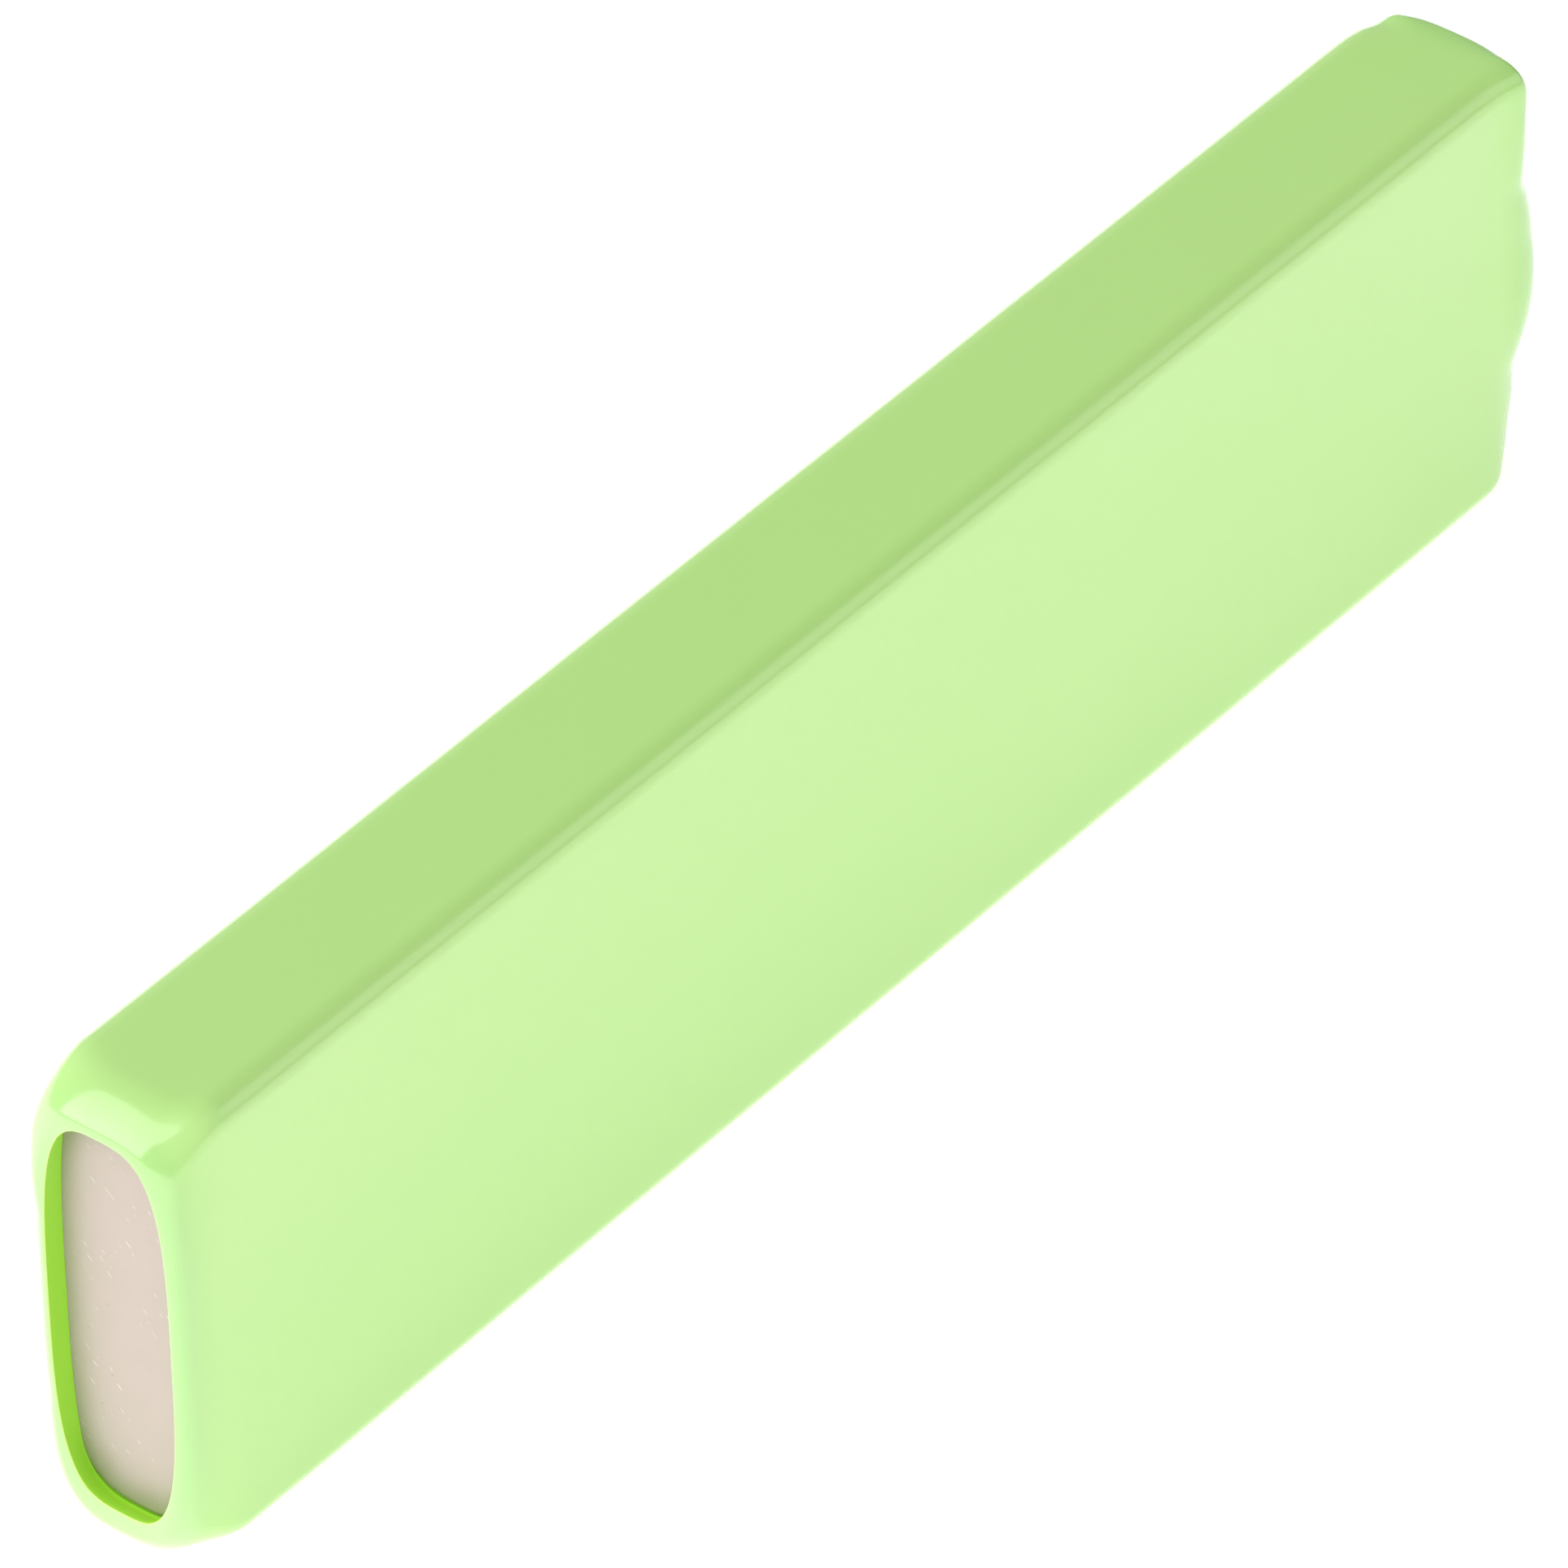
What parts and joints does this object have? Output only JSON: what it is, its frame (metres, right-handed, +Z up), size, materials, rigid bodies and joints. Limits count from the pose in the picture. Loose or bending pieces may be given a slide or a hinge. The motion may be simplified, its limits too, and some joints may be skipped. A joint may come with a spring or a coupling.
{
  "type": "flat rechargeable battery cell",
  "caption": "Slim rectangular rechargeable cell in a shrink sleeve, with a bare can bottom as negative contact, a raised positive cap and a resealable vent.",
  "frame": {"origin": "on the narrow face that the cell stands on, under the middle of its length and thickness", "axes": "+X along the cell towards the positive contact, +Y through its thickness, +Z up its height"},
  "size_m": [0.067, 0.0058, 0.0169],
  "materials": {
    "sleeve_film": "glossy heat-shrink film, light green",
    "nickel_plate": "satin nickel plating on steel",
    "nickel_strip": "plain nickel strip",
    "washer_fibre": "matte off-white fibre",
    "gasket_nylon": "translucent natural nylon",
    "vent_rubber": "matte black rubber",
    "positive_mass": "matte, pressed powder in nickel foam",
    "negative_mass": "dull grey, rolled powder",
    "separator_felt": "white non-woven felt"
  },
  "bodies": {
    "cell": {"sleeve": "sleeve_film", "can": "nickel_plate", "cover_plate": "nickel_plate", "positive_cap": "nickel_plate", "terminal_rivet": "nickel_plate", "collector_plate": "nickel_strip", "positive_tab_1": "nickel_strip", "positive_tab_2": "nickel_strip", "positive_tab_3": "nickel_strip", "negative_collector": "nickel_strip", "end_washer": "washer_fibre", "outer_gasket": "gasket_nylon", "inner_gasket": "gasket_nylon", "top_insulator": "gasket_nylon", "vent_cushion": "vent_rubber", "positive_plate_1": "positive_mass", "positive_plate_2": "positive_mass", "positive_plate_3": "positive_mass", "negative_plate_1": "negative_mass", "negative_plate_2": "negative_mass", "negative_plate_3": "negative_mass", "negative_plate_4": "negative_mass", "separator_1": "separator_felt", "separator_2": "separator_felt", "separator_3": "separator_felt"},
    "vent": {"vent_valve": "vent_rubber"}
  },
  "joints": [
    {"name": "vent_lift", "type": "slide", "parent": "cell", "child": "vent", "axis": [1, 0, 0], "range_m": [0, 0.00015], "stiffness_N_per_m": 4000, "springref_m": -0.00025, "deforming": ["vent_cushion"]}
  ]
}
